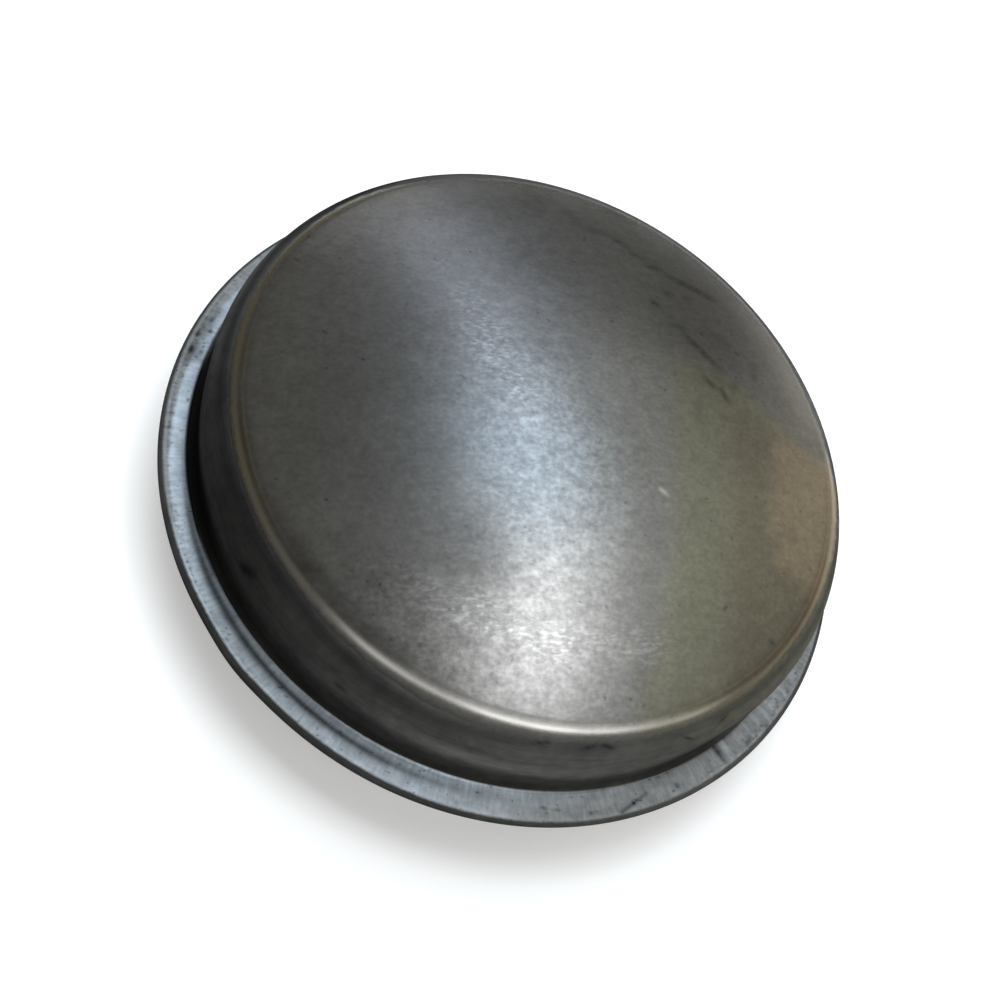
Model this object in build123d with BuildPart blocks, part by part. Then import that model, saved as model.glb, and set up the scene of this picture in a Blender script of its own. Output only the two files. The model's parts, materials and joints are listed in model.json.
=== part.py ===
"""Hub grease cap: one piece of thin steel sheet, drawn to a shallow dome and folded out to a stop flange."""

import math
import os

from build123d import *

# Sheet and fold
sheet_thickness = 0.6
fold_gap = 0.1
bend_radius = 0.5

# Press-in spigot under the flange, with its lower lip turned in as a lead
spigot_diameter = 63.5
spigot_length = 7.0
lip_height = 1.8
lip_radius = 4.0

# Stop flange, as far as it stands out from the spigot
flange_width = 3.25

# Skirt, shoulder and crown above the flange; the skirt is a hair narrower than the spigot
skirt_setback = 0.05
skirt_height = 6.2
shoulder_radius = 4.1
crown_radius = 104.0

# Levels, from the lip of the open mouth upwards
flange_thickness = 2 * sheet_thickness + fold_gap
flange_bottom = spigot_length
flange_top = flange_bottom + flange_thickness
shoulder_level = flange_top + skirt_height

# Outer radii of the turned walls
spigot_radius = spigot_diameter / 2
skirt_radius = spigot_radius - skirt_setback
flange_radius = spigot_radius + flange_width

# Centre of the fold that closes the flange's outer edge
fold_outside = flange_thickness / 2
fold_r = flange_radius - fold_outside
fold_z = flange_bottom + fold_outside

# Centres of the bends where the flange leaves the skirt and the spigot
bend_inside = bend_radius + sheet_thickness
upper_bend_r = skirt_radius + bend_radius
upper_bend_z = flange_top + bend_radius
lower_bend_r = spigot_radius + bend_radius
lower_bend_z = flange_bottom - bend_radius

# The crown is a sphere that meets the shoulder without a crease
shoulder_r = skirt_radius - shoulder_radius
crown_tilt = math.asin(shoulder_r / (crown_radius - shoulder_radius))
crown_z = shoulder_level - (crown_radius - shoulder_radius) * math.cos(crown_tilt)
crown_arc = math.degrees(crown_tilt)
shoulder_arc = 90 - crown_arc

# The lip turns in until the sheet is cut off level with the mouth
lip_r = spigot_radius - lip_radius
lip_inside = lip_radius - sheet_thickness
lip_arc = math.degrees(math.asin(lip_height / lip_radius))
lip_inside_arc = math.degrees(math.asin(lip_height / lip_inside))

with BuildPart() as grease_cap:
    with BuildSketch(Plane.XZ):
        with BuildLine():
            # Outside of the sheet, from the top of the crown down to the mouth
            crown_out = CenterArc((0, crown_z), crown_radius, shoulder_arc, crown_arc)
            shoulder_out = CenterArc((shoulder_r, shoulder_level), shoulder_radius, 0, shoulder_arc)
            upper_bend_out = CenterArc((upper_bend_r, upper_bend_z), bend_radius, 180, 90)
            fold_out = CenterArc((fold_r, fold_z), fold_outside, -90, 180)
            lower_bend_out = CenterArc((lower_bend_r, lower_bend_z), bend_radius, 90, 90)
            lip_out = CenterArc((lip_r, lip_height), lip_radius, -lip_arc, lip_arc)
            Line(shoulder_out @ 0, upper_bend_out @ 0)
            Line(upper_bend_out @ 1, fold_out @ 1)
            Line(fold_out @ 0, lower_bend_out @ 0)
            Line(lower_bend_out @ 1, lip_out @ 1)

            # Inside of the sheet, parallel to the outside
            crown_in = CenterArc((0, crown_z), crown_radius - sheet_thickness, shoulder_arc, crown_arc)
            shoulder_in = CenterArc(
                (shoulder_r, shoulder_level), shoulder_radius - sheet_thickness, 0, shoulder_arc
            )
            upper_bend_in = CenterArc((upper_bend_r, upper_bend_z), bend_inside, 180, 90)
            fold_in = CenterArc((fold_r, fold_z), fold_gap / 2, -90, 180)
            lower_bend_in = CenterArc((lower_bend_r, lower_bend_z), bend_inside, 90, 90)
            lip_in = CenterArc((lip_r, lip_height), lip_inside, -lip_inside_arc, lip_inside_arc)
            Line(shoulder_in @ 0, upper_bend_in @ 0)
            Line(upper_bend_in @ 1, fold_in @ 1)
            Line(fold_in @ 0, lower_bend_in @ 0)
            Line(lower_bend_in @ 1, lip_in @ 1)

            # Cut edge of the sheet at the mouth, and the section's end on the axis
            Line(lip_out @ 0, lip_in @ 0)
            Line(crown_in @ 1, crown_out @ 1)
        make_face()
    revolve(axis=Axis.Z)

grease_cap.part.label = "grease_cap"

os.makedirs("parts", exist_ok=True)
export_step(grease_cap.part, "parts/grease_cap.step")
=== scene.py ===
"""Hub grease cap: the looks of one drawn and folded steel cap, worked out around its packed model.

The cap is one sheet section turned about its axis, with a used cap's waves, dents and pits pressed into it.
Its bare steel, the drawing marks on its flange and the dark film in its corners are one procedural finish,
which also paints shade and dark reflections with the film, and reflections and highlights on crown, ridge
and flange.
"""

import json
import math
from types import SimpleNamespace

import bpy
import numpy as np
from bpy.props import FloatProperty, FloatVectorProperty, PointerProperty
from bpy.types import Operator, Panel, PropertyGroup
from mathutils import Matrix, Vector


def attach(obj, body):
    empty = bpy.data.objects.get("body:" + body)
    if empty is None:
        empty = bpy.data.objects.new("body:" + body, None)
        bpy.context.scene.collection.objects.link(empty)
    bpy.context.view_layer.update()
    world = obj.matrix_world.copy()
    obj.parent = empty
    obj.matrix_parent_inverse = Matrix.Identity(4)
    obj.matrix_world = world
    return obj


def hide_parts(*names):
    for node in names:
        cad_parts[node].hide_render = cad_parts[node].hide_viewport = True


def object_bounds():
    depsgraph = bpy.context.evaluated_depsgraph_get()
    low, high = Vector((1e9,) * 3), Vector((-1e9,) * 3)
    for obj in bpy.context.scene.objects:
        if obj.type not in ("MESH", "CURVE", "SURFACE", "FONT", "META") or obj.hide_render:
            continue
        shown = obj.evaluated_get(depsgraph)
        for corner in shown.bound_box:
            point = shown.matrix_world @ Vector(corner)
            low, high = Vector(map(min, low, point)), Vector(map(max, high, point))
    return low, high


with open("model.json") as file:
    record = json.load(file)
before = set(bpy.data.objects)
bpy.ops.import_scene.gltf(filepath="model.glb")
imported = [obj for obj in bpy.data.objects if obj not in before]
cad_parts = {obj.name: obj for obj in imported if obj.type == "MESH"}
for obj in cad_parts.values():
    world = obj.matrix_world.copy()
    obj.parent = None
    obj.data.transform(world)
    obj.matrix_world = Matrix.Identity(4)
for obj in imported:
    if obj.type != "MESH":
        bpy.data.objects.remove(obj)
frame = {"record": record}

bl_info = {
    "name": "Hub grease cap",
    "version": (1, 0, 0),
    "blender": (4, 5, 0),
    "location": "3D View > Sidebar > Grease Cap",
    "description": "Builds a pressed steel hub grease cap with its finish, and a plain stage for it",
    "category": "Add Mesh",
}

NODE = "grease_cap"
MM = 0.001

# Sizes of the packed model that the looks are worked out around
cad_low, cad_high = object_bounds()
cad_reach = min(cad_high.x, cad_high.y, -cad_low.x, -cad_low.y)
mounts = {mount["name"]: mount for mount in frame["record"]["mounts"]}
cad_spigot = mounts["spigot"]["dims"]["r_mm"] * MM
cad_seat = mounts["seat"]["pos_m"][2]

# Rings along each run of the section, and steps round the axis
CROWN_RINGS = 72
SHOULDER_RINGS = 36
SKIRT_RINGS = 12
BEND_RINGS = 8
FLANGE_RINGS = 16
FOLD_RINGS = 14
WALL_RINGS = 3
HIDDEN_RINGS = 5
LIP_RINGS = 6
INSIDE_RINGS = 10
STEPS_ROUND = 440

# Where the steps round the axis are closer together: angle and width in degrees, and how much closer
CLOSER_STEPS = ((193.0, 7.0, 1.8), (318.0, 11.0, 1.1), (337.0, 5.0, 1.6), (349.0, 6.0, 1.4))

# Angles round the axis, in degrees, that the finish is laid out from, as the camera sees the cap
FAR = 95.0
LEFT = 225.0
FRONT = 294.0
RIGHT = 330.0

# Tilt of the sheet from level where the shoulder starts, in degrees
SHOULDER_START = 16.0

# Half widths of a narrow streak that its mask covers from nothing to one
STREAK_SPAN = 12

# Long waves of the crown sheet: wavelength and height in mm, direction and phase in degrees
CROWN_WAVES = (
    (19.0, 0.012, 20.0, 40.0),
    (14.0, 0.009, 75.0, 110.0),
    (10.5, 0.005, 130.0, 300.0),
    (8.0, 0.003, 160.0, 10.0),
)

# Waves of the flange round the axis: how many, height in mm, phase in degrees
FLANGE_WAVES = ((3, 0.03, 30.0), (7, 0.018, 200.0), (16, 0.006, 80.0))

# Dents in the flange's top: angle in degrees; radius, half width round, half length out and depth in mm
FLANGE_DENTS = (
    (336.8, 32.6, 0.34, 0.8, 0.26),
    (338.4, 32.9, 0.4, 0.9, -0.07),
    (193.5, 34.15, 0.3, 0.24, 0.1),
    (192.0, 33.2, 0.28, 0.2, 0.08),
    (196.6, 33.1, 0.34, 0.2, 0.1),
    (197.8, 33.35, 0.3, 0.22, 0.1),
    (189.8, 33.7, 0.26, 0.2, 0.06),
    (196.7, 34.05, 0.5, 0.25, 0.06),
    (326.9, 33.7, 0.24, 0.32, 0.1),
    (324.3, 32.2, 0.3, 0.24, 0.1),
    (326.2, 32.2, 0.22, 0.2, 0.08),
    (311.2, 34.05, 0.24, 0.18, 0.07),
    (303.5, 33.4, 0.24, 0.16, 0.05),
    (305.6, 33.6, 0.3, 0.16, 0.05),
)

# Scratches across the flange: angle in degrees and radius of both ends, half width in mm, and strength
FLANGE_SCRATCHES = (
    (316.2, 34.4, 318.5, 33.9, 0.2, 0.9),
    (318.5, 33.9, 321.2, 33.35, 0.16, 0.75),
    (336.7, 33.2, 336.6, 34.0, 0.34, 0.5),
    (341.8, 34.2, 343.4, 33.9, 0.2, 0.5),
    (187.5, 33.5, 199.5, 33.85, 0.3, 0.5),
    (190.0, 34.3, 199.0, 34.2, 0.24, 0.4),
)

# Streaks rubbed bright across the dull side of the flange: angle, half width in degrees, and strength
FLANGE_STREAKS = (
    (338.2, 0.6, 0.15),
    (344.0, 0.4, 0.15),
    (346.6, 0.3, 0.3),
    (348.7, 0.25, 0.2),
    (350.6, 0.3, 0.3),
    (352.6, 0.25, 0.25),
    (354.6, 0.35, 0.3),
    (358.5, 0.8, 0.2),
)

# Outward knock on the flange's edge: angle and width in degrees, and how far it stands out in mm
RIM_KNOCK = (252.0, 5.0, 0.14)

# Soft dark smudges on the crown: both ends as x and y, half width in mm, and strength
CROWN_SMUDGES = (
    (-11.4, 22.7, -9.9, 22.0, 0.6, 0.45),
    (-14.3, 21.8, -14.1, 21.7, 0.5, 0.35),
    (-6.0, 23.2, 5.6, 23.8, 0.9, 0.22),
    (5.5, 16.6, 10.4, 15.2, 0.8, 0.2),
    (7.0, 19.3, 9.0, 19.3, 0.7, 0.4),
    (13.1, 19.4, 13.7, 17.8, 0.5, 0.5),
    (1.2, 17.5, 1.5, 17.6, 0.5, 1.0),
    (1.6, 20.2, 1.9, 20.2, 0.45, 0.75),
    (3.6, 21.3, 3.9, 21.4, 0.5, 0.65),
    (12.2, 14.7, 12.5, 14.6, 0.5, 0.6),
    (10.2, 9.2, 11.0, 7.6, 0.5, 0.35),
    (12.8, 10.1, 13.0, 10.1, 0.4, 0.5),
    (-12.2, 11.2, -11.7, 13.6, 0.4, 0.3),
    (-6.3, -0.4, -6.1, -0.4, 0.5, 0.55),
    (-7.0, -2.6, -6.8, -2.6, 0.4, 0.45),
    (-5.5, -3.5, -5.3, -3.5, 0.4, 0.45),
    (6.9, -23.9, 9.0, -21.1, 0.3, 0.3),
    (8.6, -19.0, 8.8, -19.0, 0.3, 0.6),
    (27.4, -6.5, 27.6, -6.5, 0.4, 0.9),
)

# Narrow dark streaks on the crown's far right: both ends as x and y, half width in mm, and strength
CROWN_STREAKS = (
    (-8.4, 27.4, -5.2, 27.5, 0.6, 0.4),
    (-9.0, 21.7, -6.6, 23.3, 0.75, 0.4),
    (-6.2, 22.9, -3.9, 23.2, 0.6, 0.65),
    (-4.2, 22.1, -1.9, 23.1, 0.55, 0.6),
    (-2.0, 22.0, 0.3, 23.2, 0.65, 0.75),
    (0.5, 22.7, 6.3, 24.4, 0.7, 1.0),
    (3.8, 16.5, 5.4, 17.2, 0.55, 0.6),
    (5.2, 16.5, 9.9, 15.5, 0.6, 1.0),
    (9.6, 15.7, 11.2, 15.5, 0.55, 0.4),
    (9.2, 13.0, 11.2, 12.7, 0.55, 0.8),
    (11.0, 13.4, 12.8, 12.3, 0.55, 0.8),
)

# Wide dull patches of the crown: x, y and half width in mm, and strength
CROWN_DULL = (
    (7.0, 19.0, 7.5, 0.26),
    (1.0, -17.6, 3.0, 0.3),
    (13.5, 7.0, 5.0, 0.14),
    (24.0, -9.0, 6.0, 0.1),
)

# Bright nicks in the crown: both ends as x and y, half width in mm, and strength
CROWN_NICKS = ((11.3, -1.9, 11.9, -1.9, 0.24, 1.0), (-2.6, -4.6, -1.2, -3.6, 0.16, 0.5))

# Bands of the crown scuffed bright in short dashes: both ends as x and y, half width in mm, and strength
CROWN_SCUFFS = (
    (-13.0, 4.0, -9.0, 0.5, 2.4, 0.7),
    (-9.0, 0.5, -4.2, -2.2, 2.2, 1.0),
    (-1.0, -23.2, 3.4, -22.2, 1.5, 0.9),
    (3.4, -22.2, 10.0, -20.6, 1.6, 1.0),
    (10.0, -20.6, 18.4, -14.4, 1.6, 0.8),
)

# Where the crown's grain shows most, along the highlight band, as painted glints: both ends as x and y,
# half width in mm, and strength
CROWN_GLINT_GRAIN = (
    (-6.0, -0.5, 1.8, -7.3, 5.0, 1.0),
    (1.8, -7.3, 9.5, -21.0, 7.0, 1.0),
    (-3.0, -25.5, 6.0, -26.5, 3.5, 1.0),
)

# Dark blots on skirt and shoulder: angle in degrees; height, half width round and half length up in mm;
# lean in degrees for each mm upwards, and strength
SKIRT_BLOTS = (
    (243.4, 14.4, 0.65, 1.1, 1.3, 0.95),
    (266.3, 13.3, 0.6, 0.5, 0.0, 0.45),
    (297.6, 17.25, 0.35, 0.2, 6.0, 0.8),
    (305.4, 17.2, 0.3, 0.25, 4.0, 0.7),
    (308.4, 17.25, 0.35, 0.25, -4.0, 0.7),
    (323.5, 16.6, 0.25, 0.35, -3.0, 0.6),
    (330.6, 16.9, 0.3, 0.3, 4.0, 0.5),
)

# Level lamps over the cap, each a little above the one before it, so that none hides another: name, place
# and sides as shares of the lamp height, turn in degrees, colour, brightness, and False for no reflection
LAMPS = (
    ("strip_near", (0.255, 0.115), (0.46, 0.18), -63.0, (0.96, 0.98, 1.0), 4.15),
    ("strip_middle", (0.014, 0.47), (0.37, 0.16), -50.0, (0.58, 0.78, 1.0), 3.0),
    ("strip_far", (-0.21, 0.7825), (0.5, 0.17), -56.5, (0.71, 0.82, 1.0), 1.7),
    ("strip_end", (-0.65, 1.32), (0.85, 0.3), -50.0, (0.71, 0.81, 1.0), 0.9),
    ("left_end", (-1.2, 1.75), (0.8, 0.6), -50.0, (1.0, 1.0, 1.0), 0.45),
    ("sky", (0.45, 0.9), (1.1, 1.2), 0.0, (1.0, 0.985, 0.86), 0.235),
    ("front_left", (0.27, -0.61), (1.0, 0.46), 14.0, (1.0, 1.0, 0.98), 0.4),
    ("front_right", (1.16, -0.12), (1.35, 0.5), 38.0, (1.0, 1.0, 0.98), 0.48),
    ("front_middle", (0.72, -0.4), (0.78, 0.48), 27.0, (1.0, 1.0, 0.98), 0.85),
    ("fill", (-0.25, 0.3), (0.7, 0.7), 0.0, (0.9, 0.96, 1.0), 5.0, False),
)


def length(name, text, default):
    """A length that a user may change, in metres."""
    return FloatProperty(name=name, description=text, default=default, min=0.0, unit="LENGTH", precision=5)


def turn(name, text, default):
    """An angle that a user may change, given in degrees."""
    return FloatProperty(name=name, description=text, default=math.radians(default), subtype="ANGLE")


def share(name, text, default):
    """A share between nothing and all that a user may change."""
    return FloatProperty(name=name, description=text, default=default, min=0.0, max=1.0, subtype="FACTOR")


def colour(name, text, default):
    """A linear colour that a user may change."""
    return FloatVectorProperty(
        name=name, description=text, default=default, min=0.0, max=1.0, size=3, subtype="COLOR"
    )


class CapSizes(PropertyGroup):
    """Sizes of the sheet section; the reach, height, spigot and seat come from the packed model."""

    flange_radius: length("Flange radius", "Reach of the folded flange from the axis", cad_reach)
    crown_top: length("Crown top", "Height of the crown's middle above the mouth", cad_high.z)
    spigot_radius: length("Spigot radius", "Outside radius of the press-in spigot", cad_spigot)
    flange_bottom: length("Flange bottom", "Height of the flange's seat above the mouth", cad_seat)
    sheet: length("Sheet", "Thickness of the steel sheet", 0.6 * MM)
    fold_gap: length("Fold gap", "Slit left between the flange's two layers", 0.1 * MM)
    bend_radius: length("Bend radius", "Outside radius of the bends beside the flange", 0.5 * MM)
    lip_height: length("Lip height", "Height of the turned-in lip at the mouth", 1.8 * MM)
    lip_radius: length("Lip radius", "Outside radius of the turned-in lip", 4.0 * MM)
    skirt_setback: length("Skirt setback", "How much narrower the skirt is than the spigot", 0.05 * MM)
    skirt_height: length("Skirt height", "From the flange's top to the shoulder's start", 6.2 * MM)
    shoulder_radius: length("Shoulder radius", "Outside radius of the rounded shoulder", 4.1 * MM)


class CapFinish(PropertyGroup):
    """Colours and grain of the steel and of what has settled on it, and colours that paint reflections,
    highlights, light and shade on it.
    """

    steel: colour("Crown steel", "Bare steel of the crown, dulled by handling", (0.34, 0.337, 0.33))
    # Also paints the highlight along the shoulder's ridge and a reflection on the crown's far rim; the
    # nicks are real.
    clean: colour("Burnished steel", "Steel rubbed bright on the shoulder and in nicks", (0.66, 0.66, 0.65))
    # Painted reflection: the crown's warm reflections on its right, as yellowed and then browned steel.
    olive: colour("Yellowed steel", "The crown's steel where it has yellowed", (0.36, 0.36, 0.29))
    tan: colour("Browned steel", "The crown's steel where it has browned", (0.315, 0.3, 0.24))
    # Painted reflection: the warm reflection along the ridge away from the front.
    gilt: colour("Browned ridge", "Ridge of the shoulder where it has browned", (0.46, 0.405, 0.283))
    flange: colour("Flange steel", "Dull steel of the flange", (0.33, 0.343, 0.346))
    # Painted reflection: the flange's bright blue reflection on its left and front, with painted light
    # there.
    bright: colour("Bright flange", "Clean steel on the bright side of the flange", (0.74, 0.85, 0.97))
    # Partly dried brown film, partly a painted warm reflection beside the shoulder's ridge.
    varnish: colour("Varnish", "Thin brown film where the grease has dried", (0.16, 0.122, 0.07))
    # Partly painted shade: the film also darkens shoulder, skirt, root and fold edge where their
    # reflections and shade are dark.
    film: colour("Dark film", "Grease and dirt on the shoulder, skirt and edges", (0.014, 0.014, 0.013))
    # Painted light: paler film where light and reflections fall on it, warmer beside the crown's painted
    # warm reflection.
    worn: colour("Worn film", "The same film where it is rubbed thin", (0.2, 0.2, 0.192))
    warm_lit_film: colour("Browned film", "The rubbed film beside the yellowed steel", (0.2, 0.193, 0.158))
    # Painted shade: black in the root, up the skirt and round the flange's inner left; also the black of
    # blots, dents and scratches.
    grime: colour("Grime", "Black dirt in the root of the flange", (0.003, 0.003, 0.0025))
    smudge: colour("Smudge", "Dark handling streaks on the crown", (0.13, 0.128, 0.118))
    # Painted reflection: brown tint where the crown reflects warm surroundings at its right edge.
    stain: colour("Brown stain", "Brown tint on one side of the crown", (0.5, 0.42, 0.32))
    inside: colour("Inside", "Plain, duller steel of the inside and the spigot", (0.3, 0.295, 0.28))
    steel_roughness: share("Steel roughness", "Roughness of the crown's steel", 0.3)
    clean_roughness: share("Burnished roughness", "Roughness where the steel is rubbed bright", 0.2)
    flange_roughness: share("Flange roughness", "Roughness of the flange's dull steel", 0.58)
    # Roughness where the flange's bright reflection is painted.
    bright_roughness: share("Bright roughness", "Roughness of the flange's clean steel", 0.4)
    flange_metal: share("Flange metal", "Share of the flange's light that is mirrored", 0.6)
    film_roughness: share("Film roughness", "Roughness of the dark film", 0.6)
    grain: length("Grain", "Size of the sheet's fine grain", 0.36 * MM)
    grain_depth: length("Grain depth", "Depth of the sheet's fine grain", 0.006 * MM)
    rolling: turn("Rolling direction", "Direction in which the sheet was rolled", 37.0)


class CapStage(PropertyGroup):
    """Camera, lamps and floor."""

    lens: FloatProperty(name="Lens", description="The camera's focal length", default=47.086, unit="CAMERA")
    shift: FloatProperty(name="Shift", description="Sideways shift of the picture", default=-0.0014)
    rise: FloatProperty(name="Rise", description="Upward shift of the picture", default=0.0005)
    distance: length("Distance", "From the camera to the point it looks at", 0.135)
    aim_height: length("Aim height", "Height of the point on the axis that the camera looks at", 2.8 * MM)
    tilt: turn("Tilt", "Angle between the view and the cap's axis", 33.987)
    roll: turn("Roll", "Turn of the camera about its own view", 34.86)
    lamp_height: length("Lamp height", "Height of the lamps above the floor", 0.6)
    room: colour("Room", "Dim grey light from all round", (0.145, 0.141, 0.126))
    horizon: colour("Horizon", "Paler light low down on the far right", (0.75, 0.7, 0.62))
    floor: colour("Floor", "Pale floor", (0.76, 0.76, 0.76))
    floor_reach: length("Floor reach", "From the axis to the floor's sides", 4.0)
    floor_glow: share("Floor glow", "Share of white added to what is seen of the floor", 0.36)


def arc(centre, radius, start, end, count):
    """An arc of the section: a centre plus a radius times the cosine and sine of evenly spaced angles."""
    angle = np.radians(np.linspace(start, end, count))
    return np.stack([centre[0] + radius * np.cos(angle), centre[1] + radius * np.sin(angle)], 1)


def run(start, end, count):
    """The points between the two ends of a straight run of the section, evenly spaced."""
    part = np.linspace(0.0, 1.0, count + 2)[1:-1, None]
    return np.asarray(start) * (1 - part) + np.asarray(end) * part


def sheet_section(sizes):
    """The closed section of the sheet as named runs of (radius, height) points: from the crown's middle
    down the outside to the mouth, and back up the inside.

    Arcs joined by straight runs; the inside arcs share the outside arcs' centres, one sheet apart.
    The crown's radius follows from its height, so that it meets the shoulder without a crease.
    """
    thick = 2 * sizes.sheet + sizes.fold_gap
    flange_top = sizes.flange_bottom + thick
    shoulder_level = flange_top + sizes.skirt_height
    skirt_radius = sizes.spigot_radius - sizes.skirt_setback
    rounding = sizes.shoulder_radius
    shoulder_r = skirt_radius - rounding
    rise = sizes.crown_top - shoulder_level
    crown_radius = (shoulder_r**2 + rise**2 - rounding**2) / (2 * (rise - rounding))
    crown_tilt = math.degrees(math.asin(shoulder_r / (crown_radius - rounding)))
    lip_inside = sizes.lip_radius - sizes.sheet
    lip_arc = math.degrees(math.asin(sizes.lip_height / sizes.lip_radius))
    lip_inside_arc = math.degrees(math.asin(sizes.lip_height / lip_inside))
    bend_inside = sizes.bend_radius + sizes.sheet

    crown = (0.0, sizes.crown_top - crown_radius)
    shoulder = (shoulder_r, shoulder_level)
    upper = (skirt_radius + sizes.bend_radius, flange_top + sizes.bend_radius)
    fold = (sizes.flange_radius - thick / 2, sizes.flange_bottom + thick / 2)
    lower = (sizes.spigot_radius + sizes.bend_radius, sizes.flange_bottom - sizes.bend_radius)
    lip = (sizes.spigot_radius - sizes.lip_radius, sizes.lip_height)

    # A run that is given as a number is straight, with that many rings between its neighbours' ends
    runs = {
        "crown": arc(crown, crown_radius, 90, 90 - crown_tilt, CROWN_RINGS),
        "shoulder": arc(shoulder, rounding, 90 - crown_tilt, 0, SHOULDER_RINGS)[1:],
        "skirt": SKIRT_RINGS,
        "root": arc(upper, sizes.bend_radius, 180, 270, BEND_RINGS),
        "flange": FLANGE_RINGS,
        "edge": arc(fold, thick / 2, 90, -90, FOLD_RINGS),
        "seat": WALL_RINGS,
        "corner": arc(lower, sizes.bend_radius, 90, 180, HIDDEN_RINGS),
        "spigot": WALL_RINGS,
        "lip": arc(lip, sizes.lip_radius, 0, -lip_arc, LIP_RINGS),
        "lip_inside": arc(lip, lip_inside, -lip_inside_arc, 0, LIP_RINGS),
        "spigot_inside": WALL_RINGS,
        "corner_inside": arc(lower, bend_inside, 180, 90, HIDDEN_RINGS),
        "slit": arc(fold, sizes.fold_gap / 2, -90, 90, HIDDEN_RINGS),
        "root_inside": arc(upper, bend_inside, 270, 180, HIDDEN_RINGS),
        "skirt_inside": WALL_RINGS,
        "shoulder_inside": arc(shoulder, rounding - sizes.sheet, 0, 90 - crown_tilt, INSIDE_RINGS),
        "crown_inside": arc(crown, crown_radius - sizes.sheet, 90 - crown_tilt, 90, INSIDE_RINGS)[1:],
    }
    names = list(runs)
    for before, name, after in zip(names, names[1:], names[2:]):
        if isinstance(runs[name], int):
            runs[name] = run(runs[before][-1], runs[after][0], runs[name])
    return runs


def ramp(value, low, high):
    """Nothing at low, one at high, and 3t^2 - 2t^3 between them."""
    t = np.clip((value - low) / (high - low), 0.0, 1.0)
    return t * t * (3 - 2 * t)


def bell(distance, width):
    """One at no distance, falling as exp(-(distance / width)^2)."""
    return np.exp(-((distance / width) ** 2))


def window(value, start, full, fading, gone):
    """Rises smoothly from nothing at start to one at full, and falls from fading to nothing at gone."""
    return ramp(value, start, full) * (1 - ramp(value, fading, gone))


def turn_from(angle, middle):
    """Angle from the middle one, the short way round, in degrees."""
    return (angle - middle + 180) % 360 - 180


def steps_round():
    """Angles round the axis, in degrees, closer together where the flange's dents and pits are.

    Their density is one plus a bell at each place, and the angles cut its running total into equal parts.
    """
    samples = 7201
    fine = np.linspace(0.0, 360.0, samples)
    density = 1 + sum(gain * bell(turn_from(fine, at), width) for at, width, gain in CLOSER_STEPS)
    total = np.concatenate([[0.0], np.cumsum((density[1:] + density[:-1]) / 2)])
    return np.interp(np.arange(STEPS_ROUND) / STEPS_ROUND, total / total[-1], fine)


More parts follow.
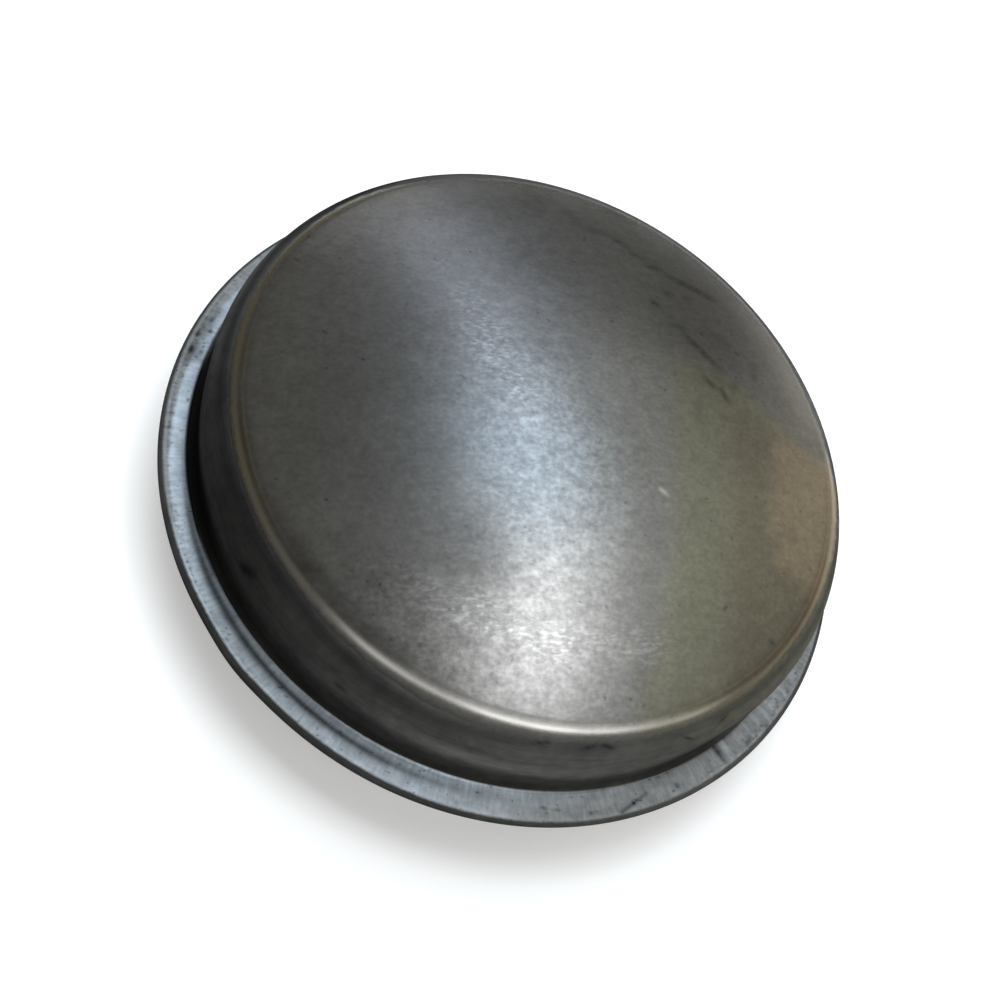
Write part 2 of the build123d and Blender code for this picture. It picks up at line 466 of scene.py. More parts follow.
class TurnedSheet:
    """The section turned about the axis, as arrays with a row for each ring and a column for each step.

    x and y are the radius times the cosine and sine of the angle. All lengths here are in mm and angles in
    degrees. The masks are worked out before wear() moves the points.
    """

    def __init__(self, runs, angles):
        section = np.concatenate(list(runs.values())) / MM
        counts = [len(points) for points in runs.values()]
        self.run = np.repeat(list(runs), counts)[:, None]
        self.along = np.concatenate([np.linspace(0, 1, count) for count in counts])[:, None]
        self.angle = angles[None, :]
        self.radius, self.height = (np.repeat(part[:, None], len(angles), axis=1) for part in section.T)
        self.x = self.radius * np.cos(np.radians(self.angle))
        self.y = self.radius * np.sin(np.radians(self.angle))

        # Where the runs that are seen lie, and what lies round the axis
        self.crown, self.shoulder, self.skirt = (self.on(name) for name in ("crown", "shoulder", "skirt"))
        self.root, self.flange, self.edge = (self.on(name) for name in ("root", "flange", "edge"))
        self.hidden = self.on("seat", "corner", "spigot", "lip")
        self.dome = self.crown + self.shoulder
        self.wall = self.shoulder + self.skirt
        self.rim = self.flange + self.root + self.edge
        self.tilt = SHOULDER_START + (90 - SHOULDER_START) * self.along
        self.down = self.below_skirt()
        self.to_left, self.to_right = turn_from(self.angle, LEFT), turn_from(self.angle, RIGHT)
        self.right = window(self.to_right, -85, -40, 60, 120)
        self.front = self.near(FRONT, 36)
        self.far = ramp(np.cos(np.radians(turn_from(self.angle, FAR))), 0.35, 0.7)

    def on(self, *runs):
        """One on the named runs of the section, nothing elsewhere."""
        return np.isin(self.run, runs).astype(float)

    def near(self, angle, width):
        """A bell of the turn round the axis from one angle."""
        return bell(turn_from(self.angle, angle), width)

    def chord(self, name):
        """Straight distance between the first and the last ring of a run."""
        first, last = np.flatnonzero(self.run[:, 0] == name)[[0, -1]]
        return np.hypot(*(part[last, 0] - part[first, 0] for part in (self.radius, self.height)))

    def below_skirt(self):
        """Distance along the section from the skirt's lower end: negative up the skirt, positive down the
        root's quarter bend, which is pi / sqrt(8) chords long, and out along the flange."""
        skirt, flange = self.chord("skirt"), self.chord("flange")
        bend = self.chord("root") * np.pi / 8**0.5
        down = self.skirt * (self.along - 1) * skirt - self.shoulder * skirt
        return down + self.root * self.along * bend + self.flange * (bend + self.along * flange)

    def line(self, x0, y0, x1, y1, width):
        """A bell of the distance from a straight line between two points, seen along the axis."""
        step_x, step_y = x1 - x0, y1 - y0
        part = ((self.x - x0) * step_x + (self.y - y0) * step_y) / (step_x**2 + step_y**2)
        part = np.clip(part, 0, 1)
        return bell(np.hypot(self.x - x0 - part * step_x, self.y - y0 - part * step_y), width)

    def lines(self, marks):
        """The sum of straight lines, each times its strength."""
        return sum(strength * self.line(*ends_and_width) for *ends_and_width, strength in marks)

    def beside(self, streaks):
        """For narrow streaks: how far each point lies beside the one that counts most there, and how much.

        The first is the signed distance in half widths over the streaks' span, raised by a half, so that it
        runs evenly across the streak; the second falls towards its ends, past them, and well to its sides.
        """
        off_by, counts = np.full_like(self.x, 0.5), np.zeros_like(self.x)
        for x0, y0, x1, y1, width, strength in streaks:
            span = math.hypot(x1 - x0, y1 - y0)
            part = ((self.x - x0) * (x1 - x0) + (self.y - y0) * (y1 - y0)) / span
            off = ((self.y - y0) * (x1 - x0) - (self.x - x0) * (y1 - y0)) / span
            past = np.maximum(np.maximum(-part, part - span), 0)
            here = strength * bell(past, 0.3) * (1 - 0.6 * np.clip(2 * part / span - 1, -1, 1) ** 2)
            here = here * (1 - ramp(np.abs(off), 0.8, 1.3))
            off_by = np.where(here > counts, 0.5 + off / width / STREAK_SPAN, off_by)
            counts = np.maximum(here, counts)
        return off_by, counts

    def dent(self, angle, radius, half_round, half_out):
        """A bell about one place on the flange, with its own widths round the axis and out from it."""
        round_by = np.radians(turn_from(self.angle, angle)) * radius
        return bell(round_by, half_round) * bell(self.radius - radius, half_out)

    def above_root(self):
        """One down to where the film and the painted shade end in the root or just past it, soonest at the
        front.
        """
        end = 0.47 + 0.63 * (1 - self.near(290, 50))
        return 1 - ramp(self.down, end - 0.15, end + 0.15)

    def blots(self):
        """Dark blots on the wall: a strength times a bell round and a bell up a leaning line."""
        blots = np.zeros_like(self.x)
        for angle, height, half_round, half_up, lean, strength in SKIRT_BLOTS:
            up = self.height - height
            off_round = np.radians(turn_from(self.angle, angle + lean * up)) * self.radius
            blots = blots + strength * bell(off_round, half_round) * bell(up, half_up)
        return self.wall * blots

    def film(self):
        """The dark film, which also paints the dark reflections and shade of the shoulder, skirt and fold
        edge: deepening from the shoulder's ridge, on the far side from the crown, and from just over the
        fold."""
        beyond_right = window(self.to_right, 5, 20, 120, 170)
        start = 26 - 12 * self.far - 4 * beyond_right * (1 - self.far)
        deepens = (self.tilt - start) / (18 + 10 * self.front) - 0.2 * self.front
        film = self.shoulder * np.clip(deepens, 0, 1) + self.skirt
        film = film * (1 - 0.44 * self.near(21, 19)) + self.root * self.above_root()
        fold_start = 0.12 * self.near(302, 32) + 0.09 * self.near(198, 34) - 0.04
        return film + self.edge * np.clip((self.along - fold_start) / 0.26, 0, 1) + 0.4 * self.hidden

    def tone(self):
        """Painted light on the film: how pale it is painted where light and reflections fall, palest on the
        right, with a painted dark band under the shoulder's ridge, a painted paler reflection on the
        skirt's front, a darker patch on its right, and the real dark blots."""
        facing = np.cos(np.radians(turn_from(self.angle, 335)))
        tone = 0.09 + 0.62 * ramp(facing, -0.2, 1.25)
        tone = tone + 0.25 * self.near(190, 20) + 0.25 * self.far
        darkest = 47 + 12 * self.near(277, 14) - 5 * self.near(340, 25)
        band = self.shoulder * bell(self.tilt - darkest, 11)
        tone = tone * (1 - (0.7 - 0.25 * self.right) * band)
        tone = tone + 0.4 * self.skirt * self.near(289, 17) * bell(self.down + 3.6, 1.2)
        tone = tone * (1 - 0.42 * self.near(RIGHT, 11) * ramp(self.down, -5.4, -3))
        tone = tone * (1 - np.clip(self.blots(), 0, 1))
        # Painted light on the fold edge: paler on the right, darker on the front left.
        fold_shading = 0.25 - 0.12 * self.near(248, 25) + 0.15 * self.near(RIGHT, 35)
        return (self.wall + self.root) * tone + self.edge * fold_shading + 0.6 * self.hidden

    def root_shade(self):
        """Painted shade: black that climbs the skirt from the root, most on the left; and the black of the
        blots.
        """
        behind = 1 - ramp(self.to_right, -180, -150)
        left = (1 - behind) * (1 - ramp(self.to_right, -108, -82))
        less_shaded = ramp(self.to_right, 5, 20) + behind
        amount = 0.48 * (1 - 0.6 * less_shaded) + 0.44 * left
        climbs = ramp(self.down, -3.4, -1) * self.above_root()
        return (self.skirt + self.root + self.flange) * climbs * amount + 0.6 * self.blots()

    def flange_shade_and_marks(self):
        """Black on the flange: painted shade as a dark band round its inner left, where it reflects the
        dark skirt, and darker in its dents and along its scratches.
        """
        inner_shade = 0.84 * window(self.to_left, -35, 15, 37, 80)
        middle = 1 + 0.45 * ramp(self.to_left, -13, 15)
        within = 0.3 + 0.3 * (1 - ramp(self.to_left, 10, 30))
        beyond = 0.36 + 0.12 * self.near(249, 13)
        half_width = np.where(self.down < middle, within, beyond)
        grime = self.flange * inner_shade * bell(self.down - middle, half_width)
        top = self.flange + self.edge
        for angle, radius, half_round, half_out, depth in FLANGE_DENTS:
            if depth > 0:
                grime = grime + 0.65 * top * self.dent(angle, radius, half_round, half_out)
        for angle0, radius0, angle1, radius1, width, strength in FLANGE_SCRATCHES:
            start = radius0 * np.exp(1j * np.radians(angle0))
            end = radius1 * np.exp(1j * np.radians(angle1))
            scratch = self.line(start.real, start.imag, end.real, end.imag, width)
            grime = grime + 0.7 * top * strength * scratch
        return grime

    def bright(self):
        """Bright steel of the flange, mostly painted reflection and light: its left but for a dull outer
        edge, raised where the skirt shades it, its inner part and a painted highlight on the bend at the
        front; and real streaks rubbed bright across its right."""
        clean = window(self.to_left, -75, -60, 55, 85) * (0.5 + 0.66 * self.near(223, 18))
        outer = ramp(self.radius - 0.0167 * (self.to_left + 30), 33.45, 33.85)
        clean = clean * (1 - 0.85 * outer * (1 - ramp(self.to_left, 0, 16)))
        # Painted light: brighter next to the skirt, where the skirt shades the flange.
        shaded = (1 - ramp(self.radius, 31.9, 33.3)) * (1 - ramp(self.to_left, -12, 5))
        clean = clean * (1 + 0.5 * shaded)
        streaks = sum(strength * self.near(at, width) for at, width, strength in FLANGE_STREAKS)
        # Painted light on the inner part at the front, and a painted highlight line on the bend.
        inner = 0.4 * self.near(298, 21) * (1 - ramp(self.radius, 32.2, 34.4))
        bend = 0.45 * self.near(285, 26) * bell(self.radius - 32.2, 0.3)
        return self.rim * np.clip(clean + self.flange * (streaks + inner) + bend, 0, 1)

    def varnish(self):
        """Brown above and below the shoulder's ridge, on the left and on the right: partly dried film,
        partly a painted warm reflection.
        """
        below = 0.3 * (1 - self.right) + 0.75 * self.near(350, 14)
        varnish = self.shoulder * (0.8 * bell(self.tilt - 20.5, 3.5) + below * bell(self.tilt - 33, 7))
        varnish = varnish + 0.5 * self.crown * ramp(self.radius, 28.1, 28.73)
        browned = self.near(226, 24) + self.near(348, 36)
        return varnish * np.clip(0.15 + browned, 0, 1) * (1 - 0.8 * self.front)

    def ridge(self):
        """The shoulder's burnished ridge, which also paints the highlight along it, duller on the right,
        and a painted reflection as a paler rim on the crown's far side.
        """
        crest = 28.5 - 3 * self.near(18, 18)
        broad = 3.6 + 2.2 * self.near(222, 34)
        duller = 0.35 * self.near(356, 14)
        ridge = self.shoulder * bell(self.tilt - crest, broad) * (1 - self.far) * (1 - duller)
        far_rim_reflection = self.crown * ramp(self.radius, 25, 28.2)
        far_rim_reflection = far_rim_reflection + self.shoulder * (1 - ramp(self.tilt, 17, 26))
        return ridge + 0.3 * self.far * far_rim_reflection

    def smudge(self):
        """Soft dark handling marks on the crown, and the worn parts of the flange."""
        worn_right = self.near(350, 20) * ramp(self.radius, 32.8, 34.2)
        scratched = self.near(194, 5) * bell(self.radius - 33.5, 0.9)
        worn_left = window(self.to_left, -55, -35, 20, 40) * ramp(self.radius, 33.5, 34.35)
        worn = 0.5 * worn_right + 0.26 * scratched + 0.5 * worn_left
        return self.dome * self.lines(CROWN_SMUDGES) + self.flange * worn

    def dull(self):
        """Dull patches of the crown, and its dull edge on the front left."""
        patches = sum(s * bell(np.hypot(self.x - x, self.y - y), w) for x, y, w, s in CROWN_DULL)
        edge = self.crown * ramp(self.radius, 27, 28.6)
        edge = edge + self.shoulder * (1 - ramp(self.tilt, 20, 27))
        return self.crown * patches + 0.42 * edge * self.near(256, 20)

    def olive(self):
        """Painted warm reflection on the crown: how far it is tinted yellow, past a half brown: most on the
        right, not on the far side.
        """
        way = np.radians(25)
        rightward = self.x * np.cos(way) + self.y * np.sin(way)
        olive = 0.5 * ramp(rightward, 6, 15) + 0.5 * ramp(rightward, 14.5, 20)
        return self.dome * olive * (1 - ramp(self.y, 11, 18))

    def stain(self):
        """A painted brown reflection at the crown's right edge."""
        stain = window(turn_from(self.angle, 17), -24, -12, 12, 30)
        return self.dome * stain * ramp(self.radius, 18.5, 25)

    def masks(self):
        """Where each finish and each painted light, shade and reflection lies, from nothing to one, by
        name.
        """
        streak_off, streak = self.beside(CROWN_STREAKS)
        return {
            "film": self.film(),
            "tone": self.tone(),
            "grime": self.root_shade() + self.flange_shade_and_marks(),
            "varnish": self.varnish(),
            "ridge": self.ridge(),
            # Painted warm reflection on the ridge, away from the front and the far side.
            "gilt": (1 - self.near(284, 46)) * (1 - self.far),
            "rim": self.rim,
            "bright": self.bright(),
            "smudge": self.smudge(),
            "dull": self.dull(),
            "olive": self.olive(),
            "stain": self.stain(),
            "scuff": self.crown * self.lines(CROWN_SCUFFS),
            "nick": self.crown * self.lines(CROWN_NICKS),
            "lively": self.crown * self.lines(CROWN_GLINT_GRAIN),
            "streak": self.dome * streak,
            "streak_off": streak_off,
            "inside": 1 - (self.crown + self.wall + self.rim + self.hidden),
        }

    def wear(self):
        """Moves the points as use has: waves of crown and flange, dents in the flange, a knock on its edge.

        Each wave is a height times a sine, and each dent a depth times a bell; the crown's waves only dip.
        The sheet's two sides move together in the waves, so it keeps its thickness.
        """
        crown = self.on("crown", "crown_inside") * (1 - ramp(self.radius, 20, 28))
        for wavelength, high, direction, phase in CROWN_WAVES:
            way = np.radians(direction)
            reach = self.x * np.cos(way) + self.y * np.sin(way)
            self.height += crown * high * (np.sin(2 * np.pi * reach / wavelength + np.radians(phase)) - 1)
        flange = ramp(self.radius, 32.3, 35)
        for count, high, phase in FLANGE_WAVES:
            self.height += flange * high * np.sin(np.radians(count * self.angle + phase))
        top = self.flange + self.root + self.edge * (1 - ramp(self.along, 0, 0.35))
        for angle, radius, half_round, half_out, depth in FLANGE_DENTS:
            self.height -= top * depth * self.dent(angle, radius, half_round, half_out)
        angle, width, out = RIM_KNOCK
        knock = out * self.near(angle, width) * ramp(self.radius, 33, 34.6)
        grown = 1 + knock / np.maximum(self.radius, 1)
        self.x *= grown
        self.y *= grown

    def mesh(self, name, masks):
        """The worn rings as one closed mesh of quads, with the masks as attributes of its points.

        The first and last ring are drawn together to poles on the axis.
        """
        self.wear()
        steps = self.radius.shape[1]
        rings = np.stack([self.x, self.y, self.height], axis=2)[1:-1]
        count = len(rings)
        poles = [[0, 0, self.height[end].mean()] for end in (0, -1)]
        points = np.concatenate([rings.reshape(-1, 3), poles]) * MM

        grid = np.arange(count * steps).reshape(count, steps)
        after = np.roll(grid, -1, axis=1)
        quads = np.stack([grid[:-1], grid[1:], after[1:], after[:-1]], axis=2).reshape(-1, 4)
        top, bottom = count * steps, count * steps + 1
        top_fan = np.stack([np.full(steps, top), grid[0], after[0]], axis=1)
        bottom_fan = np.stack([np.full(steps, bottom), after[-1], grid[-1]], axis=1)

        mesh = bpy.data.meshes.new(name)
        mesh.from_pydata(points, [], quads.tolist() + top_fan.tolist() + bottom_fan.tolist())
        for key, mask in masks.items():
            mask = np.clip(np.broadcast_to(mask, self.radius.shape), 0, 1)
            values = np.concatenate([mask[1:-1].ravel(), mask[0, :1], mask[-1, :1]])
            mesh.attributes.new(key, "FLOAT", "POINT").data.foreach_set("value", values.astype(np.float32))
        mesh.shade_smooth()
        mesh.set_sharp_from_angle(angle=math.radians(40))
        mesh.update()
        return mesh


class CAP_OT_body(Operator):
    """Build the cap's body as one turned sheet with its dents and its finish"""

    bl_idname = "cap.body"
    bl_label = "Cap body"

    def execute(self, context):
        sheet = TurnedSheet(sheet_section(context.scene.cap_sizes), steps_round())
        masks = sheet.masks()
        mesh = sheet.mesh("cap_body", masks)
        mesh.materials.append(steel_finish(context.scene.cap_finish, masks))
        body = bpy.data.objects.new("cap_body", mesh)
        context.scene.collection.objects.link(body)
        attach(body, "root")
        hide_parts(NODE)
        return {"FINISHED"}


class Nodes:
    """A node tree and short ways to add nodes to it; each gives back the new node's output socket."""

    def __init__(self, tree):
        self.tree = tree
        tree.nodes.clear()

    def add(self, kind, inputs=None, output=0, **settings):
        """One node with its settings, and its inputs set to values or linked to sockets."""
        made = self.tree.nodes.new(kind)
        for key, value in settings.items():
            setattr(made, key, value)
        for key, value in (inputs or {}).items():
            if isinstance(value, bpy.types.NodeSocket):
                self.tree.links.new(value, made.inputs[key])
            else:
                made.inputs[key].default_value = value
        return made.outputs[output] if made.outputs else made

    def math(self, operation, a, b):
        """One sum, product or the like of two numbers."""
        return self.add("ShaderNodeMath", {0: a, 1: b}, operation=operation)

    def times(self, a, b):
        """The product of two numbers."""
        return self.math("MULTIPLY", a, b)

    def mask(self, name):
        """What the mesh keeps under a name."""
        return self.add("ShaderNodeAttribute", output="Fac", attribute_name=name)

    def noise(self, vector, scale, detail=2.0):
        """Soft noise about a half."""
        return self.add("ShaderNodeTexNoise", {"Vector": vector, "Scale": scale, "Detail": detail})

    def step(self, value, low, high, start=0.0, end=1.0):
        """From start to end as the value goes from low to high, without corners."""
        inputs = {"Value": value, "From Min": low, "From Max": high, "To Min": start, "To Max": end}
        return self.add("ShaderNodeMapRange", inputs, interpolation_type="SMOOTHSTEP")

    def about(self, noise, spread):
        """A factor about one: twice the spread for each unit of the noise, which lies about a half."""
        inputs = {"Value": noise, "To Min": 1 - spread, "To Max": 1 + spread}
        return self.add("ShaderNodeMapRange", inputs, clamp=False)

    def between(self, share, a, b):
        """From number a to number b by a share."""
        return self.add("ShaderNodeMix", {0: share, 2: a, 3: b}, output=0)

    def blend(self, share, a, b):
        """From colour a to colour b by a share."""
        return self.add("ShaderNodeMix", {0: share, 6: a, 7: b}, output=2, data_type="RGBA")

    def cover(self, share, colour, paint):
        """A colour covered by a share of a finish's paint."""
        return self.blend(share, colour, (*paint, 1.0))

    def shade(self, colour, *factors):
        """A colour made lighter or darker by factors."""
        for factor in factors:
            colour = self.add("ShaderNodeVectorMath", {0: colour, "Scale": factor}, operation="SCALE")
        return colour


def steel_noises(nodes, finish):
    """Noises that break the finish up: a fine peel all over, dashes, patches and longer strokes along the
    rolling direction, a few dark specks, bumps, ragged edges, blotches and wide patches."""
    place = nodes.add("ShaderNodeTexCoord", output="Object")
    rolled, drawn_out = (
        nodes.add(
            "ShaderNodeMapping",
            {"Vector": place, "Rotation": (0.0, 0.0, finish.rolling), "Scale": (stretch, 1.0, 1.0)},
            vector_type="TEXTURE",
        )
        for stretch in (1.25, 2.4)
    )
    flat = nodes.add("ShaderNodeVectorMath", {0: place, 1: (1.0, 1.0, 0.0)}, operation="MULTIPLY")
    around = nodes.add("ShaderNodeVectorMath", {0: flat}, operation="NORMALIZE")
    outward = nodes.add("ShaderNodeVectorMath", {0: flat}, output="Value", operation="LENGTH")
    upward = nodes.add("ShaderNodeSeparateXYZ", {"Vector": place}, output="Z")
    across = nodes.math("SUBTRACT", outward, upward)

    def die_marks(round_scale, across_scale):
        """Marks of the drawing die, which close on themselves: noise at the direction from the axis times
        one scale, raised by radius less height times another."""
        turned = nodes.shade(around, round_scale)
        raised = nodes.add("ShaderNodeCombineXYZ", {"Z": nodes.times(across, across_scale)})
        moved = nodes.add("ShaderNodeVectorMath", {0: turned, 1: raised}, operation="ADD")
        return nodes.noise(moved, 1.0, 3.0)

    speck = nodes.noise(place, 0.55 / finish.grain, 0.0)
    return SimpleNamespace(
        peel=nodes.noise(place, 0.85 / finish.grain, 2.0),
        dashes=nodes.noise(rolled, 0.9 / finish.grain, 2.0),
        patches=nodes.noise(rolled, 0.36 / finish.grain, 2.0),
        strokes=nodes.noise(drawn_out, 1.1 / finish.grain, 1.0),
        specks=nodes.step(speck, 0.78, 0.88, 1.0, 0.7),
        bumps=nodes.noise(place, 0.75 / finish.grain, 1.0),
        ragged=nodes.noise(place, 900.0, 3.0),
        blotch=nodes.noise(place, 220.0, 4.0),
        wide=nodes.noise(place, 90.0, 3.0),
        radial=die_marks(110.0, 700.0),
        drawn=die_marks(9.0, 2600.0),
    )


def crown_colour(nodes, on, noise, finish):
    """The crown's steel, with its warm reflections painted on one side as yellowed, browned and stained
    steel, and grain, scuffs and dull patches; the grain is strongest where the highlight falls, as painted
    glints.
    """
    yellowed = nodes.math("ADD", on.olive, nodes.times(nodes.math("SUBTRACT", noise.wide, 0.5), 0.8))
    sheet = nodes.cover(nodes.step(yellowed, 0.08, 0.5), (*finish.steel, 1.0), finish.olive)
    sheet = nodes.cover(nodes.step(on.olive, 0.5, 1.0), sheet, finish.tan)
    warped = nodes.math("ADD", nodes.times(noise.wide, 1.1), nodes.times(noise.blotch, 0.9))
    tint = nodes.step(nodes.math("ADD", on.stain, warped), 1.35, 1.95, 0.0, 0.75)
    sheet = nodes.cover(tint, sheet, finish.stain)

    grain = nodes.times(nodes.about(noise.peel, 0.16), nodes.about(noise.dashes, 0.27))
    grain = nodes.times(grain, nodes.about(noise.patches, 0.28))
    # Painted glints: the colour grain is strongest where the highlight band falls.
    grain = nodes.times(nodes.math("SUBTRACT", grain, 1.0), nodes.between(on.lively, 0.75, 1.55))
    grain = nodes.math("ADD", grain, 1.0)
    rubbed = nodes.times(on.scuff, nodes.step(noise.strokes, 0.48, 0.68))
    rubbed = nodes.between(rubbed, 0.97, 1.36)
    sheet = nodes.shade(sheet, grain, nodes.about(noise.blotch, 0.12), noise.specks, rubbed)
    faded = nodes.times(on.dull, nodes.step(noise.blotch, 0.3, 0.7, 0.5, 1.5))
    return nodes.shade(sheet, nodes.math("SUBTRACT", 1.0, faded))


def flange_colour(nodes, on, noise, finish):
    """The flange's steel, dull or with its painted bright reflection, with the die's marks and dark flecks.
    """
    flange = nodes.cover(on.bright, (*finish.flange, 1.0), finish.bright)
    marks = nodes.about(noise.radial, 0.32), nodes.about(noise.drawn, 0.14), nodes.about(noise.ragged, 0.42)
    flecks = nodes.math("ADD", noise.dashes, nodes.times(on.smudge, 0.07))
    return nodes.shade(flange, *marks, nodes.step(flecks, 0.63, 0.75, 1.0, 0.5))


def film_colour(nodes, on, noise, finish):
    """The dark film, paler where light and reflections are painted on it, with the die's marks and
    blotches.
    """
    # Painted light: the film's lit colour, warmer beside the painted warm reflection.
    thin = nodes.cover(on.olive, (*finish.worn, 1.0), finish.warm_lit_film)
    film = nodes.blend(on.tone, (*finish.film, 1.0), thin)
    marks = nodes.about(noise.drawn, 0.28), nodes.about(noise.blotch, 0.42), nodes.about(noise.ragged, 0.3)
    return nodes.shade(film, *marks)


def film_cover(nodes, on, noise):
    """How much the dark film, with its painted shade, covers, with a torn edge."""
    tears = nodes.math("ADD", nodes.times(noise.ragged, 0.3), nodes.times(noise.dashes, 0.24))
    torn = nodes.math("ADD", on.film, nodes.math("SUBTRACT", tears, 0.27))
    return nodes.step(torn, 0.08, 0.65)


def steel_colour(nodes, on, noise, filmed, finish):
    """All colours, from the bare sheet to what lies on it and the painted light, shade and reflections,
    each laid over the one before.
    """
    colour = crown_colour(nodes, on, noise, finish)
    # The ridge's burnished steel also paints its highlight, browned away from the front as a painted warm
    # reflection.
    burnished = nodes.cover(on.gilt, (*finish.clean, 1.0), finish.gilt)
    rubbed = nodes.times(on.ridge, nodes.step(noise.blotch, 0.3, 0.6, 0.7, 1.0))
    colour = nodes.blend(rubbed, colour, burnished)
    dried = nodes.times(on.varnish, nodes.step(noise.blotch, 0.35, 0.65, 0.6, 1.0))
    colour = nodes.cover(dried, colour, finish.varnish)
    colour = nodes.blend(on.rim, colour, flange_colour(nodes, on, noise, finish))
    inner = nodes.shade((*finish.inside,), nodes.about(noise.blotch, 0.25))
    colour = nodes.blend(on.inside, colour, inner)
    smudged = nodes.times(on.smudge, nodes.step(noise.dashes, 0.38, 0.6, 0.28, 1.05))
    colour = nodes.cover(smudged, colour, finish.smudge)
    beside = nodes.math("ABSOLUTE", nodes.math("SUBTRACT", on.streak_off, 0.5), 0.0)
    streak = nodes.times(on.streak, nodes.step(beside, 0.0, 0.1, 1.0, 0.0))
    streak = nodes.times(streak, nodes.step(noise.dashes, 0.38, 0.56, 0.45, 1.0))
    colour = nodes.cover(streak, colour, finish.smudge)
    colour = nodes.blend(filmed, colour, film_colour(nodes, on, noise, finish))
    # Painted shade in the root and round the flange's inner left, with the black of blots, dents and
    # scratches.
    colour = nodes.cover(on.grime, colour, finish.grime)
    return nodes.cover(on.nick, colour, finish.clean)


def steel_finish(finish, masks):
    """Bare steel sheet with a fine grain, blotches, radial drawing marks on the flange, painted reflections
    and highlights, and a dark film that also paints shade.

    Roughness and metal follow the same places as the colours; the bumps are the grain's and the marks'.
    """
    material = bpy.data.materials.new("pressed_steel")
    material.use_nodes = True
    nodes = Nodes(material.node_tree)
    on = SimpleNamespace(**{name: nodes.mask(name) for name in masks})
    noise = steel_noises(nodes, finish)
    filmed = film_cover(nodes, on, noise)
    darkened = nodes.math("MAXIMUM", filmed, on.grime)

    rough = nodes.times(nodes.about(noise.blotch, 0.08), finish.steel_roughness)
    rough = nodes.between(on.ridge, rough, finish.clean_roughness)
    rough = nodes.between(nodes.math("MAXIMUM", on.rim, on.inside), rough, finish.flange_roughness)
    rough = nodes.between(on.bright, rough, finish.bright_roughness)
    rough = nodes.between(darkened, rough, finish.film_roughness)
    metal = nodes.between(on.rim, 1.0, finish.flange_metal)
    metal = nodes.between(nodes.step(darkened, 0.8, 1.0), metal, 0.0)
    height = nodes.times(noise.bumps, nodes.math("SUBTRACT", 1.0, on.ridge))
    height = nodes.between(on.rim, height, nodes.times(noise.radial, 0.5))
    bump = {"Height": height, "Distance": finish.grain_depth, "Strength": 1.0}

    inputs = {
        "Base Color": steel_colour(nodes, on, noise, filmed, finish),
        "Metallic": metal,
        "Roughness": rough,
        "Normal": nodes.add("ShaderNodeBump", bump, output="Normal"),
        "Specular IOR Level": 0.0,
    }
    nodes.add("ShaderNodeOutputMaterial", {"Surface": nodes.add("ShaderNodeBsdfPrincipled", inputs)})
    return material


class CAP_OT_stage(Operator):
    """Set up the camera, the lamps and the pale floor"""

    bl_idname = "cap.stage"
    bl_label = "Stage"

    def execute(self, context):
        stage = context.scene.cap_stage
        add_camera(context, stage)
        add_floor(context, stage)
        add_room(context, stage)
        for order, lamp in enumerate(LAMPS):
            add_lamp(context, stage, stage.lamp_height + order * MM, *lamp)
        context.scene.view_settings.view_transform = "Standard"
        return {"FINISHED"}


def add_camera(context, stage):
    """The camera looks at a point on the axis, tilted from it towards -Y and rolled about its view."""
    data = bpy.data.cameras.new("camera")
    data.lens = stage.lens
    data.sensor_width = 36.0
    data.shift_x = stage.shift
    data.shift_y = stage.rise
    data.clip_start = 0.01
    camera = bpy.data.objects.new("camera", data)
    back = Vector((0.0, -math.sin(stage.tilt), math.cos(stage.tilt)))
    place = Matrix.Translation(Vector((0.0, 0.0, stage.aim_height)) + back * stage.distance)
    camera.matrix_world = place @ Matrix.Rotation(stage.tilt, 4, "X") @ Matrix.Rotation(stage.roll, 4, "Z")
    context.scene.collection.objects.link(camera)
    context.scene.camera = camera


def add_floor(context, stage):
    """A flat pale square under the mouth, which glows a little where it is seen and keeps the shadow."""
    reach = stage.floor_reach
    corners = [(-reach, -reach, 0), (reach, -reach, 0), (reach, reach, 0), (-reach, reach, 0)]
    mesh = bpy.data.meshes.new("floor")
    mesh.from_pydata(corners, [], [(0, 1, 2, 3)])
    material = bpy.data.materials.new("pale_floor")
    material.use_nodes = True
    nodes = Nodes(material.node_tree)
    seen = nodes.add("ShaderNodeLightPath", output="Is Camera Ray")
    for ray in ("Is Glossy Ray", "Is Transmission Ray"):
        seen = nodes.math("MAXIMUM", seen, nodes.add("ShaderNodeLightPath", output=ray))
    light = nodes.add("ShaderNodeEmission", {"Strength": nodes.times(seen, stage.floor_glow)})
    matt = nodes.add("ShaderNodeBsdfDiffuse", {"Color": (*stage.floor, 1.0)})
    both = nodes.add("ShaderNodeAddShader", {0: matt, 1: light})
    nodes.add("ShaderNodeOutputMaterial", {"Surface": both})
    mesh.materials.append(material)
    floor = bpy.data.objects.new("floor", mesh)
    context.scene.collection.objects.link(floor)


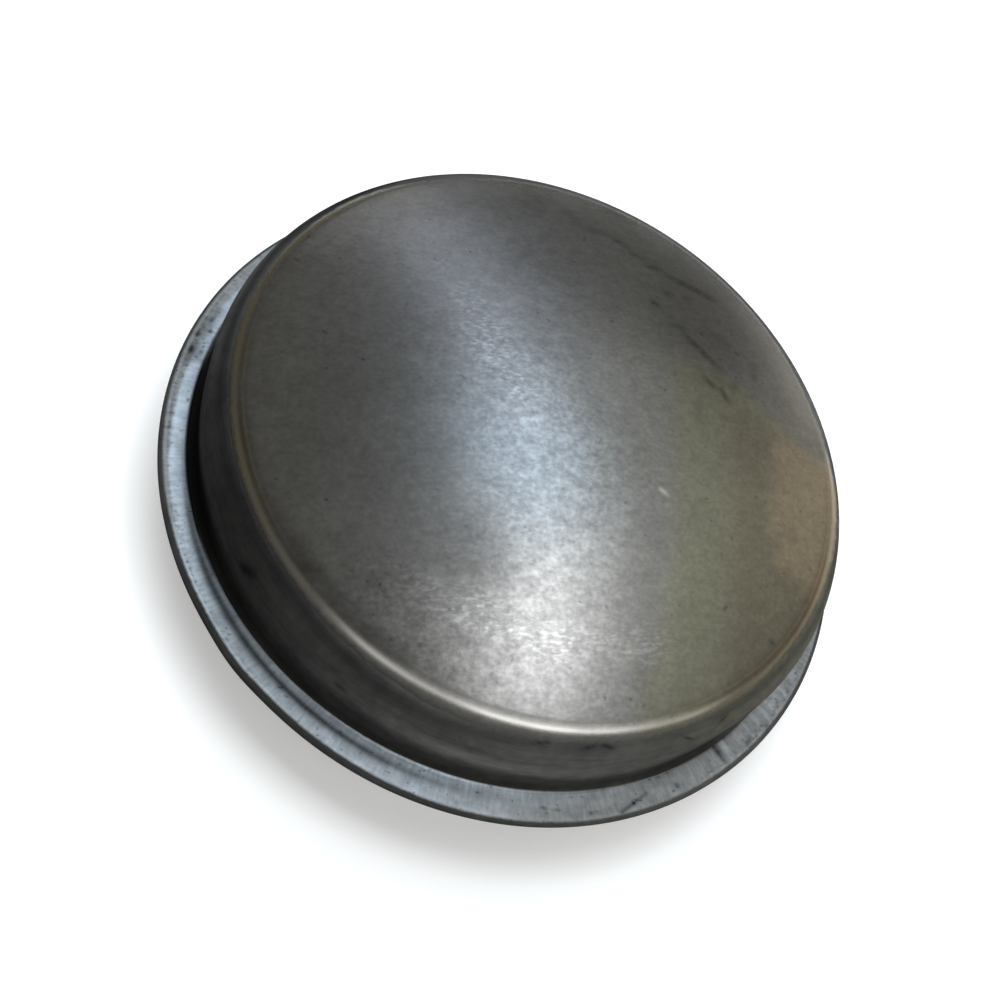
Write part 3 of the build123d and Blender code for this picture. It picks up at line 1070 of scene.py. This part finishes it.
def add_room(context, stage):
    """Dim grey light from all round, paler low down on the far right."""
    world = bpy.data.worlds.new("room")
    world.use_nodes = True
    nodes = Nodes(world.node_tree)
    way = nodes.add("ShaderNodeTexCoord", output="Generated")
    upward = nodes.add("ShaderNodeSeparateXYZ", {"Vector": way}, output="Z")
    low = nodes.add("ShaderNodeMapRange", {"Value": upward, "From Min": 0.7, "From Max": 0.0})
    towards = {0: way, 1: (0.707, 0.707, 0.0)}
    far_right = nodes.add("ShaderNodeVectorMath", towards, output="Value", operation="DOT_PRODUCT")
    pale = nodes.times(low, nodes.step(far_right, 0.74, 0.9))
    light = nodes.cover(pale, (*stage.room, 1.0), stage.horizon)
    room = nodes.add("ShaderNodeBackground", {"Color": light, "Strength": 1.0})
    nodes.add("ShaderNodeOutputWorld", {"Surface": room})
    context.scene.world = world


def add_lamp(context, stage, height, name, place, sides, angle, tint, brightness, mirrored=True):
    """One level lamp; its power is four times its area for each unit of brightness."""
    unit = stage.lamp_height
    data = bpy.data.lights.new(name, "AREA")
    data.shape = "RECTANGLE"
    data.size, data.size_y = sides[0] * unit, sides[1] * unit
    data.color = tint
    data.energy = 4 * data.size * data.size_y * brightness
    lamp = bpy.data.objects.new(name, data)
    lamp.location = (place[0] * unit, place[1] * unit, height)
    lamp.rotation_euler = (0.0, 0.0, math.radians(angle))
    lamp.visible_glossy = mirrored
    lamp.visible_camera = False
    context.scene.collection.objects.link(lamp)


class CAP_PT_sidebar(Panel):
    """The grease cap's operators and values"""

    bl_idname = "CAP_PT_sidebar"
    bl_label = "Grease cap"
    bl_space_type = "VIEW_3D"
    bl_region_type = "UI"
    bl_category = "Grease Cap"

    def draw(self, context):
        for operator in OPERATORS:
            self.layout.operator(operator.bl_idname)
        for name, group in GROUPS.items():
            box = self.layout.box()
            box.label(text=group.__doc__.split(";")[0].rstrip("."))
            values = getattr(context.scene, name)
            for key in group.__annotations__:
                box.prop(values, key)


GROUPS = {"cap_sizes": CapSizes, "cap_finish": CapFinish, "cap_stage": CapStage}
OPERATORS = (CAP_OT_body, CAP_OT_stage)
CLASSES = (*GROUPS.values(), *OPERATORS, CAP_PT_sidebar)


def register():
    for made in CLASSES:
        bpy.utils.register_class(made)
    for name, group in GROUPS.items():
        setattr(bpy.types.Scene, name, PointerProperty(type=group))


def unregister():
    for name in GROUPS:
        delattr(bpy.types.Scene, name)
    for made in reversed(CLASSES):
        bpy.utils.unregister_class(made)


def main():
    register()
    bpy.ops.cap.body()
    bpy.ops.cap.stage()


if __name__ == "__main__":
    main()
